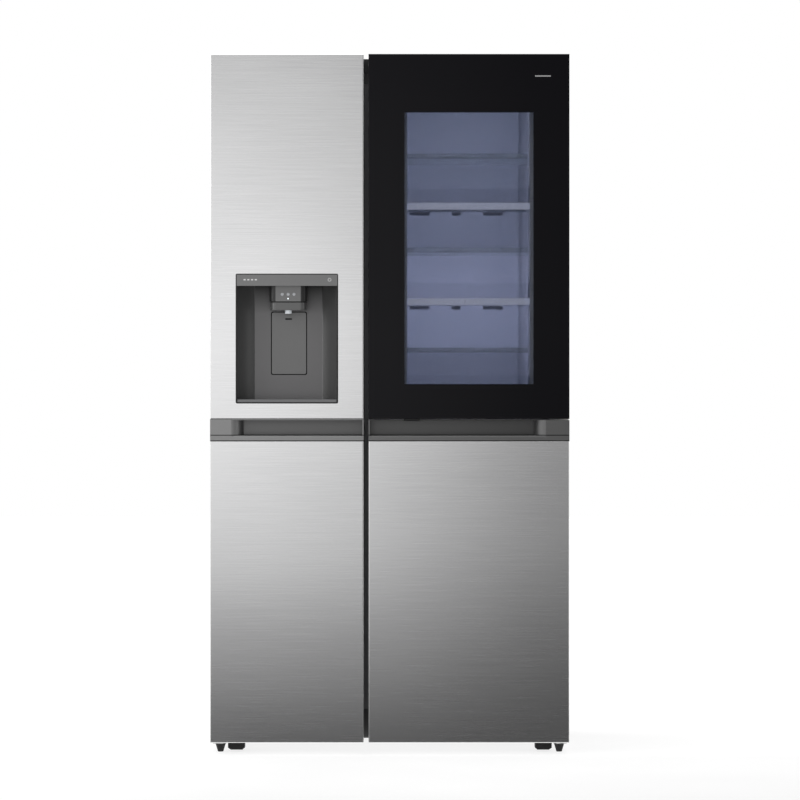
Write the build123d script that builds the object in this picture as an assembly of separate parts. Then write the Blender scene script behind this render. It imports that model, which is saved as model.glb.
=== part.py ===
from build123d import *
import os

os.makedirs("parts", exist_ok=True)

# A side by side refrigerator, in millimetres. +X is to the right seen from the front, +Y goes to
# the back, +Z is up. The origin is on the floor under the middle of the closed machine.

# ---------------------------------------------------------------- driving dimensions
WIDTH = 913.0
DEPTH = 735.0
HEIGHT = 1780.0
LEFT = -WIDTH / 2
RIGHT = WIDTH / 2
FRONT = -DEPTH / 2
BACK = DEPTH / 2

SHEET = 1.0  # steel sheet of the case and the door skins
LINER = 2.0  # plastic wall of the compartments
RUNNING = 0.05  # radial clearance of every pin in its hole
SCREW = 2.5  # radius of the cabinet's screws
SCREW_HEAD = 5.0

# Doors
DOOR_BOTTOM = 30.0
DOOR_BACK = FRONT + 103.0
LINER_FRONT = DOOR_BACK - 1.5
FREEZER_DOOR = (LEFT, -66.5)
FRIDGE_DOOR = (-54.0, RIGHT)
EDGE_RADIUS = 3.0
HANDLE = (797.0, 852.0)
HANDLE_BACK = FRONT + 55.5
POCKET_BACK = FRONT + 40.5
LIP_TOP = 812.0

# Cabinet
CABINET_FRONT = DOOR_BACK + 12.0
CABINET_TOP = 1762.0
CASE_BOTTOM = 33.0
PLATE = (34.0, 36.0)  # base plate
FOAM_FRONT = CABINET_FRONT + SHEET
FOAM_BACK = BACK - SHEET
FOAM_TOP = CABINET_TOP - SHEET
FREEZER_HOLLOW = (-401.0, -95.0)
FRIDGE_HOLLOW = (-25.0, 401.0)
HOLLOW_HEIGHT = (110.0, 1711.0)
STEP_HEIGHT = 290.0  # the floor steps up here, over the machine compartment
HOLLOW_BACK = 298.0
LOW_HOLLOW_BACK = 95.0
MACHINE_SIDE = 400.0
MACHINE_FRONT = 140.0
MACHINE_TOP = 260.0

# Hinge axes of the two main doors, and of the outer glass door
DOOR_AXIS = (438.5, -290.0)
DOOR_PIN = 5.0
VIEW_AXIS = (441.0, -340.0)
VIEW_PIN = 4.0

# Outer glass door and the opening behind it
VIEW_BOTTOM = 853.0
TRIM_TOP = VIEW_BOTTOM - 3  # top of the handle strip under the glass door
VIEW_BACK = FRONT + 52.5
GLASS = 4.0
WINDOW_X = (30.0, 372.0)
WINDOW_Z = (934.0, 1640.0)
RING_FRONT = FRONT + 59.5
RING_SHEET = 1.5
BASKET_X = (41.0, 361.0)
BASKET_Z = (902.0, 1693.0)
INNER_BACK = -150.0  # deepest point of what the doors carry
LOW_INNER_BACK = -185.0  # the same at the height of the drawers

# Dispenser
SCOOP_X = (-391.5, -131.0)
SCOOP_Z = (892.0, 1222.0)
SCOOP_PANEL_X = (-345.8, -172.4)
SCOOP_BACK = FRONT + 64.5
HOUSING_BACK = FRONT + 81.5
BAND_BOTTOM = 1191.0
BAND_DEPTH = 5.0
NOZZLE_X = -258.7

# Shelf heights, and the two drawer levels under the lowest shelf
FREEZER_SHELVES = (500.0, 740.0, 960.0, 1190.0, 1430.0)
FRIDGE_SHELVES = (500.0, 760.0, 1030.0, 1290.0, 1534.0)
SHELF_FRONT = -130.0
SHELF_BACK = 258.0
SHELF = 5.0
DRAWER_FRONT = -100.0
LOW_DRAWER = (120.0, 282.0)
HIGH_DRAWER = (303.0, 484.0)

# Feet and rollers
FOOT = (434.0, -270.0)
FOOT_STUD = 5.0
FRONT_ROLLER = (-228.0, 15.5, 15.0)  # Y and Z of the axle, radius
REAR_ROLLER = (325.0, 16.0, 16.0)
ROLLER_AXLE = 3.0


# ---------------------------------------------------------------- shapes used throughout
def block(x, y, z):
    """A block between two limits along each axis."""
    low_corner = (Align.MIN, Align.MIN, Align.MIN)
    return Pos(x[0], y[0], z[0]) * Box(x[1] - x[0], y[1] - y[0], z[1] - z[0], align=low_corner)


def grown(span, by):
    """Limits moved apart by the given amount at each end."""
    return (span[0] - by, span[1] + by)


def rounded_front(x, y, z, radius):
    """A block whose four front edges are rounded, as folded sheet is."""
    shape = block(x, y, z)
    return fillet(shape.faces().sort_by(Axis.Y)[0].edges(), radius)


def panel(x, y, z, radius):
    """A block with four rounded corners, seen from the front."""
    shape = block(x, y, z)
    return fillet(shape.edges().filter_by(Axis.Y), radius)


def upright(x, y, z, radius):
    """A block with four rounded corners, seen from above."""
    shape = block(x, y, z)
    return fillet(shape.edges().filter_by(Axis.Z), radius)


def rod(axis, radius, across, span):
    """A round bar along one axis. Across gives the two other coordinates of its centre line."""
    middle = (span[0] + span[1]) / 2
    places = {
        "x": Pos(middle, across[0], across[1]) * Rot(0, 90, 0),
        "y": Pos(across[0], middle, across[1]) * Rot(90, 0, 0),
        "z": Pos(across[0], across[1], middle),
    }
    return places[axis] * Cylinder(radius, span[1] - span[0])


def open_bin(x, y, z, wall):
    """A box that is open at the top."""
    return block(x, y, z) - block(grown(x, -wall), grown(y, -wall), (z[0] + wall, z[1] + wall))


def ring(x, y, z, width):
    """A rectangular frame, seen from the front."""
    return block(x, y, z) - block(grown(x, -width), grown(y, 1), grown(z, -width))


def both_sides(shape):
    """A right hand piece and its mirror image."""
    return [shape, mirror(shape, about=Plane.YZ)]


def save(node, *pieces):
    """Write a node's solids."""
    solids = [solid for piece in pieces for solid in piece.solids()]
    shape = solids[0] if len(solids) == 1 else Compound(children=solids)
    export_step(shape, f"parts/{node}.step")


# ---------------------------------------------------------------- cabinet shell
def compartment(x, spare):
    """The hollow of one compartment, grown by the given amount. Its floor steps up at the back."""
    low = block(grown(x, spare), (CABINET_FRONT, LOW_HOLLOW_BACK + spare), grown(HOLLOW_HEIGHT, spare))
    high_z = (STEP_HEIGHT - spare, HOLLOW_HEIGHT[1] + spare)
    return low + block(grown(x, spare), (CABINET_FRONT, HOLLOW_BACK + spare), high_z)


MULLION_X = (FREEZER_HOLLOW[1] + LINER, FRIDGE_HOLLOW[0] - LINER)
MULLION_Z = grown(HOLLOW_HEIGHT, LINER)


def make_case():
    """The steel wrap (two sides, top, folded front face), the mullion strip and the rear sheet."""
    case = block((LEFT, RIGHT), (CABINET_FRONT, FOAM_BACK), (CASE_BOTTOM, CABINET_TOP))
    case -= block((LEFT + SHEET, RIGHT - SHEET), (FOAM_FRONT, BACK), (0, FOAM_TOP))
    case -= compartment(FREEZER_HOLLOW, LINER)
    case -= compartment(FRIDGE_HOLLOW, LINER)
    case -= block(MULLION_X, (CABINET_FRONT, FOAM_FRONT), MULLION_Z)
    save("outer_case", case)
    save("mullion_strip", block(MULLION_X, (CABINET_FRONT, FOAM_FRONT), MULLION_Z))
    rear = block((LEFT + SHEET, RIGHT - SHEET), (FOAM_BACK, BACK), (PLATE[1], FOAM_TOP))
    rear -= block((-MACHINE_SIDE, MACHINE_SIDE), grown((FOAM_BACK, BACK), 1), (0, MACHINE_TOP + 2))
    save("rear_panel", rear)


def make_insulation():
    """Foam between the case and the liners. It leaves the machine compartment free."""
    foam = block((LEFT + SHEET, RIGHT - SHEET), (FOAM_FRONT, FOAM_BACK), (PLATE[1], FOAM_TOP))
    foam -= compartment(FREEZER_HOLLOW, LINER)
    foam -= compartment(FRIDGE_HOLLOW, LINER)
    foam -= block((-MACHINE_SIDE, MACHINE_SIDE), (MACHINE_FRONT, FOAM_BACK), (PLATE[1], MACHINE_TOP))
    save("insulation", foam)


def make_liner(node, x, shelf_heights):
    """A compartment's wall, with the ledges moulded in it that carry the shelves."""
    ledge_width = 7.0
    ledge_height = 8.0
    liner = compartment(x, LINER) - compartment(x, 0)
    for height in shelf_heights:
        ledge_z = (height - ledge_height, height)
        liner += block((x[0] - 1, x[0] + ledge_width), (SHELF_FRONT + 15, SHELF_BACK), ledge_z)
        liner += block((x[1] - ledge_width, x[1] + 1), (SHELF_FRONT + 15, SHELF_BACK), ledge_z)
    save(node, liner)


def make_shelves(node, x, shelf_heights):
    """Glass shelves, each with a deeper front rail."""
    rail_depth = 9.0
    rail_drop = 6.0
    side_gap = 1.5
    shelves = []
    for height in shelf_heights:
        shelf_z = (height, height + SHELF)
        shelf = block(grown(x, -side_gap), (SHELF_FRONT, SHELF_BACK), shelf_z)
        rail_z = (height - rail_drop, height + SHELF + 2)
        shelf += block(grown(x, -side_gap), (SHELF_FRONT - rail_depth, SHELF_FRONT), rail_z)
        shelves.append(shelf)
    save(node, *shelves)


def make_base():
    """The steel plate under the foam, which also carries the machine parts."""
    plate = block((LEFT + SHEET, RIGHT - SHEET), (FOAM_FRONT, FOAM_BACK), PLATE)
    save("base_plate", plate)


# ---------------------------------------------------------------- air ducts and cooling coil
FAN_X = sum(FREEZER_HOLLOW) / 2
FAN_Z = 680.0
FAN_SHAFT = 2.5


def make_freezer_duct():
    """The cover of the cooling coil, with air slots, a fan opening and the fan's motor boss."""
    duct_y = (268.0, 271.0)
    duct_x = grown(FREEZER_HOLLOW, -2)
    duct = block(duct_x, duct_y, (300, 1700))
    for row in range(5):
        row_z = 860 + row * 200
        for column in range(3):
            slot_x = -360 + column * 90
            duct -= block((slot_x, slot_x + 44), grown(duct_y, 1), (row_z, row_z + 9))
    duct -= rod("y", 50, (FAN_X, FAN_Z), grown(duct_y, 1))
    for turn in range(3):
        arm = Pos(FAN_X, 269.5, FAN_Z) * Rot(0, turn * 120, 0) * Pos(0, 0, 32) * Box(8, 3, 44)
        duct += arm
    duct += rod("y", 16, (FAN_X, FAN_Z), (256, duct_y[1]))
    duct -= rod("y", FAN_SHAFT + RUNNING, (FAN_X, FAN_Z), (258, 272))
    save("freezer_duct", duct)


def blades(hub_radius, tip_radius, chord, count):
    """Pitched fan blades about the Z axis."""
    length = tip_radius - hub_radius + 3
    blade = Pos((hub_radius + tip_radius) / 2 - 2, 0, 0) * Rot(32, 0, 0) * Box(length, chord, 1.6)
    return [Rot(0, 0, turn * 360 / count) * blade for turn in range(count)]


def make_evaporator_fan():
    """The small fan that draws air over the cooling coil."""
    wheel = Cylinder(14, 14)
    for blade in blades(14, 44, 17, 5):
        wheel += blade
    wheel = Pos(FAN_X, 281, FAN_Z) * Rot(90, 0, 0) * wheel
    wheel += rod("y", FAN_SHAFT, (FAN_X, FAN_Z), (260, 281))
    save("evaporator_fan", wheel)


def make_evaporator():
    """Finned cooling coil behind the freezer duct."""
    coil_y = (273.0, 296.0)
    coil_z = (330.0, 560.0)
    pieces = block((-382, -380), coil_y, coil_z)
    fin_count = 14
    for fin in range(fin_count):
        fin_x = -380 + (fin + 1) * 264 / fin_count
        pieces += block((fin_x - 2, fin_x), coil_y, coil_z)
    for row in range(6):
        tube_z = 350 + row * 38
        pieces += rod("x", 4, (284.5, tube_z), (-386, -112))
    save("evaporator", pieces)


def make_fridge_duct():
    """Hollow air column on the rear wall of the fridge, with rows of slots."""
    column_x = (30.0, 346.0)
    column_z = (525.0, 1690.0)
    column_y = (268.0, HOLLOW_BACK)
    wall = 2.5
    duct = block(column_x, column_y, column_z)
    duct -= block(grown(column_x, -wall), (column_y[0] + wall, BACK), grown(column_z, -wall))
    slot_spans = ((52.0, 106.0), (165.0, 190.0), (251.0, 304.0))
    for slot_z in (640.0, 892.0, 1145.0, 1399.0):
        for span in slot_spans:
            duct -= block(span, (column_y[0] - 1, column_y[0] + wall + 1), (slot_z, slot_z + 10))
    save("fridge_duct", duct)


def make_lamps():
    """Flat lamp lenses under both compartment ceilings."""
    lens_y = (-138.0, -70.0)
    lens_z = (HOLLOW_HEIGHT[1] - 6, HOLLOW_HEIGHT[1])
    freezer_lens = upright((-300, -196), lens_y, lens_z, 8)
    fridge_lens = upright((98, 278), lens_y, lens_z, 8)
    save("lamp_lenses", freezer_lens, fridge_lens)


# ---------------------------------------------------------------- machine compartment
def make_compressor():
    """Sealed steel shell on a foot plate with four rubber mounts."""
    centre = (235.0, 250.0)
    shell = Pos(centre[0], centre[1], 128) * Cylinder(78, 156)
    shell = fillet(shell.edges().filter_by(GeomType.CIRCLE), 38)
    seam = rod("z", 82, centre, (128, 134))
    foot_x = grown((centre[0], centre[0]), 88)
    foot_y = grown((centre[1], centre[1]), 62)
    foot = upright(foot_x, foot_y, (48, 51), 8)
    box_x = (centre[0] - 108, centre[0] - 60)
    terminals = block(box_x, grown((centre[1], centre[1]), 25), (90, 150))
    body = shell + seam + foot + terminals
    for side in (-1, 1):
        body += rod("z", 5, (centre[0] + 45, centre[1] + side * 35), (150, 214))
    mounts = []
    for x_side in (-1, 1):
        for y_side in (-1, 1):
            mount_at = (centre[0] + x_side * 76, centre[1] + y_side * 50)
            mounts.append(rod("z", 9, mount_at, (PLATE[1], 48)))
    save("compressor", body, *mounts)


def make_condenser():
    """Block of thin fins on upright tubes."""
    fin_x = (-190.0, -20.0)
    fin_y = (168.0, 332.0)
    coil = block(fin_x, fin_y, (44, 45.5))
    for fin in range(1, 16):
        fin_z = 44 + fin * 11
        coil += block(fin_x, fin_y, (fin_z, fin_z + 1.5))
    for column in range(4):
        for row in range(4):
            tube_at = (fin_x[0] + 22 + column * 42, fin_y[0] + 22 + row * 40)
            coil += rod("z", 4, tube_at, (PLATE[1], 222))
    save("condenser", coil)


MACHINE_FAN = (250.0, 132.0)  # Y and Z of its axle, which lies along X
MACHINE_SHAFT = 3.0


def make_fan_bracket():
    """Upright plate with a round opening, and the motor on four arms behind it."""
    bracket = block((14, 16), (160, 340), (PLATE[1], 232))
    bracket -= rod("x", 66, MACHINE_FAN, (10, 20))
    motor = rod("x", 18, MACHINE_FAN, (40, 70)) - rod("x", MACHINE_SHAFT + RUNNING, MACHINE_FAN, (39, 64))
    bracket += motor
    for turn in range(4):
        quarter = Pos(0, *MACHINE_FAN) * Rot(45 + turn * 90, 0, 0)
        bracket += quarter * Pos(42, 0, 45) * Box(4, 8, 60)
        bracket += quarter * Pos(29, 0, 72) * Rot(0, 90, 0) * Cylinder(4, 30)
    save("fan_bracket", bracket)


def make_condenser_fan():
    """The fan between the condenser and the compressor."""
    wheel = Cylinder(16, 22)
    for blade in blades(16, 60, 26, 5):
        wheel += blade
    wheel = Pos(15, *MACHINE_FAN) * Rot(0, 90, 0) * wheel
    wheel += rod("x", MACHINE_SHAFT, MACHINE_FAN, (15, 62))
    save("condenser_fan", wheel)


VALVE_X = (-362.0, -308.0)
VALVE_Z = (92.0, 148.0)
INLET_X = (-262.0, -222.0)
INLET_Z = (104.0, 134.0)
COVER_Y = (FOAM_BACK - 2, FOAM_BACK)
COVER_SCREWS = [(side * x, z) for side in (-1, 1) for x in (200, 385) for z in (48, 248)]


def make_water_valve():
    """Inlet valve with a threaded stub for the supply hose."""
    middle = (sum(VALVE_X) / 2, sum(VALVE_Z) / 2)
    body = upright(grown(VALVE_X, -8), (300, 345), (PLATE[1], VALVE_Z[1] - 8), 5)
    body += rod("y", 18, middle, (340, 349))
    body += rod("y", 13.2, middle, (345, BACK))
    body -= rod("y", 8, middle, (330, BACK + 1))
    save("water_valve", body)


def make_power_inlet():
    """Three pin appliance inlet set in the rear cover."""
    body = panel(INLET_X, (335, BACK - 0.5), INLET_Z, 2)
    body -= panel(grown(INLET_X, -5), (350, BACK), grown(INLET_Z, -5), 4)
    middle_x = sum(INLET_X) / 2
    middle_z = sum(INLET_Z) / 2
    for offset_x, offset_z in ((-8, -2), (0, 3), (8, -2)):
        pin_x = grown((middle_x + offset_x, middle_x + offset_x), 1)
        pin_z = grown((middle_z + offset_z, middle_z + offset_z), 2)
        body += block(pin_x, (349, 362), pin_z)
    save("power_inlet", body)


def make_machine_cover():
    """Slotted sheet that closes the machine compartment at the back."""
    cover_x = (-MACHINE_SIDE + 1, MACHINE_SIDE - 1)
    cover = block(cover_x, COVER_Y, (PLATE[1] + 2, MACHINE_TOP - 2))
    cut_y = grown(COVER_Y, 1)
    for column in range(7):
        for row in range(8):
            slot_x = -160 + column * 76
            slot_z = 66 + row * 22
            cover -= panel((slot_x, slot_x + 56), cut_y, (slot_z, slot_z + 8), 3.9)
    cover -= block(VALVE_X, cut_y, VALVE_Z)
    cover -= block(INLET_X, cut_y, INLET_Z)
    for place in COVER_SCREWS:
        cover -= rod("y", SCREW, place, cut_y)
    save("machine_cover", cover)


# ---------------------------------------------------------------- hinges, covers, feet and rollers
HINGE_PLATE = (CABINET_TOP, CABINET_TOP + 4)
HINGE_SCREWS = [(x, y) for x in (412, 446) for y in (-226, -172)]
HINGE_ARM = 9.0
BRACKET_PLATE = (22.0, 28.0)


def arm_outline(half_width, nose_radius, z):
    """The part of a hinge that reaches forward over the door and ends round on its axis."""
    x, y = DOOR_AXIS
    arm = block((x - half_width, x + half_width), (y, CABINET_FRONT + 20), z)
    return arm + rod("z", nose_radius, DOOR_AXIS, z)


def make_top_hinges():
    """Flat hinge on the cabinet's top, with its pin down into the door."""
    hinge = upright((402, 454), (-240, -160), HINGE_PLATE, 6)
    hinge += arm_outline(HINGE_ARM, 12, HINGE_PLATE)
    hinge += rod("z", DOOR_PIN, DOOR_AXIS, (1737, HINGE_PLATE[0]))
    for place in HINGE_SCREWS:
        hinge -= rod("z", SCREW, place, grown(HINGE_PLATE, 1))
    save("top_hinges", *both_sides(hinge))


def make_top_covers():
    """Plastic caps over the two top hinges, and the cap over the mullion's head."""
    cover_z = (HINGE_PLATE[1], HINGE_PLATE[1] + 10)
    wall = 2.0
    cover = upright((400, 456), (-242, -150), cover_z, 8) + arm_outline(12, 14, cover_z)
    cover -= upright((402, 454), (-240, -152), (cover_z[0], cover_z[1] - wall), 6)
    cap_z = (1738.0, 1776.0)
    cap = block((-92, -28), (CABINET_FRONT - 9, CABINET_FRONT), cap_z)
    cap += block((-92, -28), (CABINET_FRONT - 9, -140), (CABINET_TOP, cap_z[1]))
    save("top_covers", *both_sides(cover), cap)


def make_bottom_hinges():
    """Angle bracket on the cabinet's front, with its pin up into the door."""
    x, y = DOOR_AXIS
    bracket = block((419, 453), (y, CABINET_FRONT), BRACKET_PLATE)
    bracket += rod("z", 13.5, DOOR_AXIS, BRACKET_PLATE)
    bracket += block((419, 453), (CABINET_FRONT - 3, CABINET_FRONT), (BRACKET_PLATE[0], 58))
    bracket += rod("z", DOOR_PIN, DOOR_AXIS, (BRACKET_PLATE[1], 55))
    bracket -= rod("z", FOOT_STUD + RUNNING, FOOT, grown(BRACKET_PLATE, 1))
    save("bottom_hinges", *both_sides(bracket))


def make_feet():
    """Screwed levelling feet under the bottom hinges."""
    foot = Pos(*FOOT, 10) * Cone(7, 13, 20)
    foot += rod("z", FOOT_STUD, FOOT, (19, 27))
    right_foot, left_foot = both_sides(foot)
    save("left_foot", left_foot)
    save("right_foot", right_foot)


def roller_housing(x, roller):
    """Inverted U of bent sheet that holds one roller under the base plate."""
    y, z, radius = roller
    side = 2.0
    top = PLATE[0]
    span_y = (y - radius - 8, y + radius + 8)
    housing = block(x, span_y, (top - side, top))
    for low_x in (x[0], x[1] - side):
        housing += block((low_x, low_x + side), span_y, (7, top))
    front_wall = block(x, (span_y[0], span_y[0] + side), (4, top))
    housing += fillet(front_wall.edges().filter_by(Axis.Y).group_by(Axis.Z)[0], 7)
    housing -= rod("x", ROLLER_AXLE + RUNNING, (y, z), grown(x, 1))
    return housing


FRONT_HOUSING_X = (373.0, 416.0)
REAR_HOUSING_X = (372.0, 412.0)


def make_rollers():
    """Two rollers in front and two behind, each pair on one line."""
    housings = []
    for node, x, roller in (
        ("front_rollers", FRONT_HOUSING_X, FRONT_ROLLER),
        ("rear_rollers", REAR_HOUSING_X, REAR_ROLLER),
    ):
        y, z, radius = roller
        wheel = rod("x", radius, (y, z), grown(x, -5))
        wheel = fillet(wheel.edges().filter_by(GeomType.CIRCLE), 2)
        wheel += rod("x", ROLLER_AXLE, (y, z), x)
        save(node, *both_sides(wheel))
        housings += both_sides(roller_housing(x, roller))
    save("roller_housings", *housings)


def make_screws():
    """Screws of the top hinges and of the rear cover."""
    screws = []
    for place in HINGE_SCREWS:
        head = rod("z", SCREW_HEAD, place, (HINGE_PLATE[1], HINGE_PLATE[1] + 3))
        screws += both_sides(head + rod("z", SCREW, place, HINGE_PLATE))
    for place in COVER_SCREWS:
        head = rod("y", SCREW_HEAD, place, (FOAM_BACK, BACK))
        screws.append(head + rod("y", SCREW, place, COVER_Y))
    save("cabinet_screws", *screws)


# ---------------------------------------------------------------- drawers
def drawer(x, back, z):
    """Clear drawer, higher in front, with a finger groove."""
    side_gap = 12.0
    wall = 3.0
    drawer_x = grown(x, -side_gap)
    shape = open_bin(drawer_x, (DRAWER_FRONT + 8, back), (z[0], z[1] - 22), wall)
    shape += block(grown(drawer_x, 4), (DRAWER_FRONT, DRAWER_FRONT + 8 + wall), z)
    middle = sum(x) / 2
    groove_x = grown((middle, middle), 60)
    shape -= block(groove_x, (DRAWER_FRONT - 1, DRAWER_FRONT + 5), (z[1] - 40, z[1] - 16))
    return shape


def make_drawers():
    """One drawer in the freezer and two in the fridge."""
    save("freezer_drawer", drawer(FREEZER_HOLLOW, 250, HIGH_DRAWER))
    save("fridge_drawer_high", drawer(FRIDGE_HOLLOW, 250, HIGH_DRAWER))
    save("fridge_drawer_low", drawer(FRIDGE_HOLLOW, LOW_HOLLOW_BACK - 8, LOW_DRAWER))


# ---------------------------------------------------------------- door parts used on both doors
HINGE_NOTCH = block((420.5, RIGHT + 1), (-316, CABINET_FRONT), (1756, HEIGHT + 1))
HINGE_HOLES = rod("z", DOOR_PIN + RUNNING, DOOR_AXIS, (DOOR_BOTTOM - 1, 58))
HINGE_HOLES += rod("z", DOOR_PIN + RUNNING, DOOR_AXIS, (1735, 1760))
RIGHT_HINGE_CUT = HINGE_NOTCH + HINGE_HOLES
LEFT_HINGE_CUT = mirror(RIGHT_HINGE_CUT, about=Plane.YZ)


def skin(x, z, fold_end):
    """Folded steel sheet over one part of a door. The fold beside the handle is short."""
    inner_radius = EDGE_RADIUS - SHEET
    inside = rounded_front(grown(x, -SHEET), (FRONT + SHEET, DOOR_BACK), grown(z, -SHEET), inner_radius)
    sheet = rounded_front(x, (FRONT, LINER_FRONT), z, EDGE_RADIUS) - inside
    return sheet - block(grown(x, -SHEET), (HANDLE_BACK, DOOR_BACK), fold_end)


def front_foam(x, z):
    """The foam that fills a skin, as deep as the handle trim."""
    foam_y = (FRONT + SHEET, HANDLE_BACK)
    return rounded_front(grown(x, -SHEET), foam_y, grown(z, -SHEET), EDGE_RADIUS - SHEET)


def pocket(x, outer_end, outer_side, top):
    """The grip hollow. It curves out to the front at its outer end and dips behind a round lip."""
    bottom = LIP_TOP - 9
    lip_back = FRONT + 14
    lip_shoulder = LIP_TOP - 6
    lip_crest = ((FRONT + lip_back) / 2, LIP_TOP)
    side_view = Plane.YZ * make_face(
        Polyline((FRONT, lip_shoulder), (FRONT - 2, lip_shoulder), (FRONT - 2, top), (POCKET_BACK, top),
                 (POCKET_BACK, bottom), (lip_back, bottom), (lip_back, lip_shoulder)).edges()
        + ThreePointArc((lip_back, lip_shoulder), lip_crest, (FRONT, lip_shoulder)).edges()
    )
    run = Pos(x[0], 0, 0) * extrude(side_view, x[1] - x[0])
    deep_end = outer_end - outer_side * 30
    inner_end = x[0] if outer_side > 0 else x[1]
    arc_middle = (outer_end - outer_side * 21, FRONT + 12)
    plan = make_face(
        Polyline((deep_end, POCKET_BACK), (inner_end, POCKET_BACK), (inner_end, FRONT - 2),
                 (outer_end, FRONT - 2), (outer_end, FRONT)).edges()
        + ThreePointArc((outer_end, FRONT), arc_middle, (deep_end, POCKET_BACK)).edges()
    )
    plan_run = Pos(0, 0, bottom) * extrude(plan, top - bottom)
    return run & plan_run


def handle_trim(x, pocket_x, outer_end, outer_side, top, pocket_top):
    """The moulded strip between the skins, with the grip hollow and thin side returns."""
    trim = block(x, (FRONT, HANDLE_BACK), (HANDLE[0], top))
    trim -= pocket(pocket_x, outer_end, outer_side, pocket_top)
    for low_x in (x[0], x[1] - SHEET):
        trim += block((low_x, low_x + SHEET), (HANDLE_BACK, LINER_FRONT), (HANDLE[0], top))
    return trim


def inner_panel(x, cut, dike_x, dike_z, back):
    """Door liner: a flat sheet with a raised wall around the bins."""
    wall = 4.0
    sheet = block(x, (LINER_FRONT, DOOR_BACK), (DOOR_BOTTOM, HEIGHT)) - cut
    return sheet + ring(dike_x, (DOOR_BACK, back), dike_z, wall)


def door_bin(x, back, z):
    """A bin that hangs in the door, with a thicker rim on the side toward the shelves."""
    wall = 2.5
    shape = open_bin(x, (DOOR_BACK + 2, back), z, wall)
    return shape + block(x, (back - 6, back), (z[1] - 14, z[1]))


GASKET_Z = (66.0, 1735.0)


def gasket(x):
    """Magnetic seal, just clear of the cabinet's front."""
    return ring(x, (DOOR_BACK, CABINET_FRONT - 0.3), GASKET_Z, 18)


# ---------------------------------------------------------------- freezer door
CHUTE_TOP = (NOZZLE_X, -258.0, 1256.0)
CHUTE_BOTTOM = (NOZZLE_X, -322.0, 1190.0)
CHUTE_BORE = 20.0
CHUTE_TUBE = 24.0


def chute(radius):
    """The sloping way of the ice, from the bin to the nozzle."""
    start = Vector(*CHUTE_TOP)
    direction = Vector(*CHUTE_BOTTOM) - start
    mouth = Plane(origin=start, z_dir=direction)
    return extrude(mouth * Circle(radius), direction.length)


def scoop_plan(inset):
    """The dispenser's hollow seen from above: a flat back and two concave sides."""
    left, right = grown(SCOOP_X, -3.5 - inset)
    back_left, back_right = grown(SCOOP_PANEL_X, -inset)
    back = SCOOP_BACK - inset
    mouth = FRONT - 1
    bulge = 11.0
    left_arc = ThreePointArc((left, FRONT), (left + bulge, FRONT + 38), (back_left, back))
    right_arc = ThreePointArc((back_right, back), (right - bulge, FRONT + 38), (right, FRONT))
    sides = Polyline((right, FRONT), (right, mouth), (left, mouth), (left, FRONT)).edges()
    return make_face(left_arc.edges() + Line((back_left, back), (back_right, back)).edges()
                     + right_arc.edges() + sides)


PADDLE_X = (-301.5, -214.0)
PADDLE_Z = (967.5, 1124.5)
PADDLE_GAP = 2.5
PADDLE_AXIS = (SCOOP_BACK + 5, 1119.0)  # Y and Z of the pivot pins
PADDLE_PIN = 2.5


def make_dispenser():
    """Housing, display band, nozzle turret, paddle and drip tray."""
    scoop_bottom = SCOOP_Z[0] + 3
    housing = panel(SCOOP_X, (FRONT, HOUSING_BACK), SCOOP_Z, 4)
    housing -= Pos(0, 0, scoop_bottom) * extrude(scoop_plan(0), BAND_BOTTOM - scoop_bottom)
    housing -= block(grown(SCOOP_X, 1), (FRONT - 1, FRONT + BAND_DEPTH), (BAND_BOTTOM, SCOOP_Z[1] + 1))
    pocket_x = grown(PADDLE_X, PADDLE_GAP)
    housing -= panel(pocket_x, (SCOOP_BACK - 1, HOUSING_BACK - 2), grown(PADDLE_Z, PADDLE_GAP), 5)
    housing -= rod("x", PADDLE_PIN + RUNNING, PADDLE_AXIS, grown(pocket_x, 5))
    housing += chute(CHUTE_TUBE) & block(SCOOP_X, (HOUSING_BACK, LINER_FRONT), (BAND_BOTTOM, 1300))
    housing -= chute(CHUTE_BORE)
    save("dispenser_housing", housing)

    band = panel(SCOOP_X, (FRONT, FRONT + BAND_DEPTH), SCOOP_Z, 4)
    band &= block(SCOOP_X, (FRONT, FRONT + BAND_DEPTH), (BAND_BOTTOM, SCOOP_Z[1]))
    save("dispenser_fascia", band)

    turret = nozzle_storey(48, (1152, BAND_BOTTOM))
    turret += nozzle_storey(44, (1149, 1152))
    turret += nozzle_storey(45.5, (1130, 1149))
    spout_place = (NOZZLE_X, FRONT + 36)
    spout_z = (1121.0, 1142.0)
    spout_radius = 9.0
    spout_bore = 6.5
    turret -= rod("z", spout_radius, spout_place, (1126, spout_z[1]))
    turret -= chute(CHUTE_BORE)
    spout = rod("z", spout_radius, spout_place, spout_z)
    spout -= rod("z", spout_bore, spout_place, (spout_z[0] - 1, spout_z[1] - 3))
    save("dispenser_nozzle", turret, spout)

    paddle = panel(PADDLE_X, (SCOOP_BACK, SCOOP_BACK + 7), PADDLE_Z, 4)
    slot_x = grown((NOZZLE_X, NOZZLE_X), 8.5)
    paddle -= block(slot_x, (SCOOP_BACK - 1, SCOOP_BACK + 3), (1106, 1110))
    paddle += rod("x", PADDLE_PIN, PADDLE_AXIS, grown(pocket_x, 4))
    save("dispenser_paddle", paddle)

    tray_bottom = scoop_bottom + 0.3
    tray_height = 7.0
    tray = Pos(0, 0, tray_bottom) * extrude(scoop_plan(1), tray_height)
    tray &= block(SCOOP_X, (FRONT + 1, SCOOP_BACK), (0, HEIGHT))
    grille_count = 11
    grille_pitch = 14.3
    grille_slot = 7.0
    for slot in range(grille_count):
        slot_x = SCOOP_PANEL_X[0] + 12 + slot * grille_pitch
        slot_y = (FRONT + 12, SCOOP_BACK - 8)
        tray -= block((slot_x, slot_x + grille_slot), slot_y, (tray_bottom + 2, HEIGHT))
    save("dispenser_tray", tray)


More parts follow.
